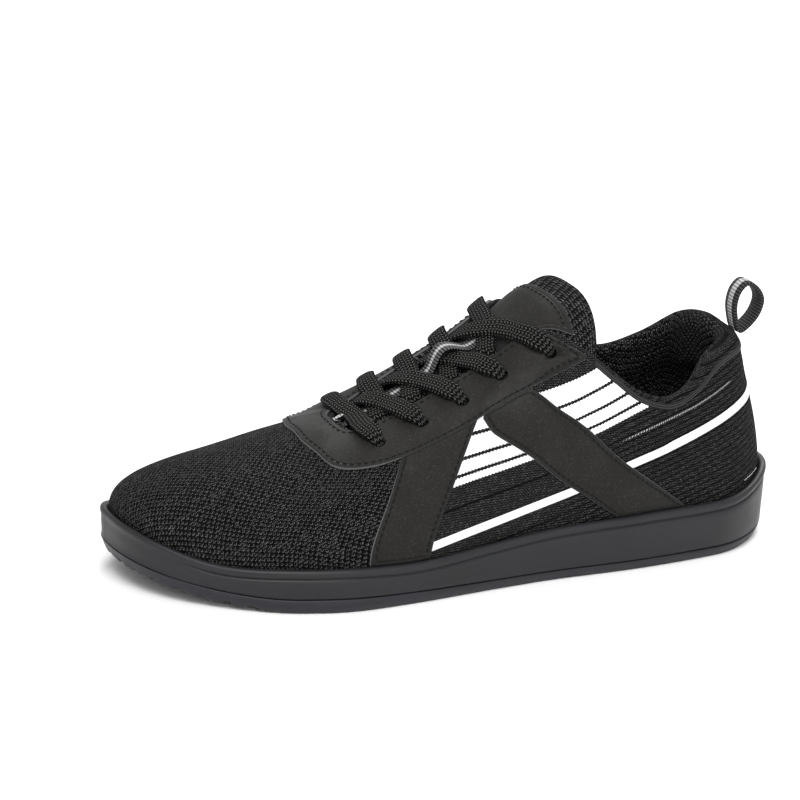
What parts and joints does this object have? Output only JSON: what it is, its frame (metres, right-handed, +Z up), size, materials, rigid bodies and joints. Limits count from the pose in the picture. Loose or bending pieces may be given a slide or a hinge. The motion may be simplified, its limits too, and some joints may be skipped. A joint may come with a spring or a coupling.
{
  "type": "barefoot shoe",
  "caption": "Low left barefoot trainer: knitted upper with smooth eyestay and side straps, flat laces, padded collar, heel pull loop and thin flat cup sole.",
  "frame": {"origin": "floor under the middle of the shoe, on the plane that the sole rests on", "axes": "+X towards the heel, +Y towards the inner side, +Z up"},
  "size_m": [0.286, 0.106, 0.1137],
  "materials": {
    "outsole_rubber": "matte",
    "midsole_rubber": "satin",
    "insole_lining": "matte",
    "upper_knit": "matte",
    "overlay": "matte",
    "tongue_knit": "matte",
    "ribbon": "matte",
    "lace": "matte"
  },
  "bodies": {
    "root": {"outsole": "outsole_rubber", "midsole": "midsole_rubber", "insole": "insole_lining", "upper": "upper_knit", "eyestay": "overlay", "strap_front_lateral": "overlay", "strap_rear_lateral": "overlay", "strap_front_medial": "overlay", "strap_rear_medial": "overlay", "tongue": "tongue_knit", "tongue_panel": "overlay", "tongue_ribbon": "ribbon", "lace_bar": "lace", "lace_cross_1": "lace", "lace_cross_2": "lace", "lace_cross_3": "lace", "lace_cross_4": "lace", "pull_loop": "ribbon"}
  },
  "joints": []
}
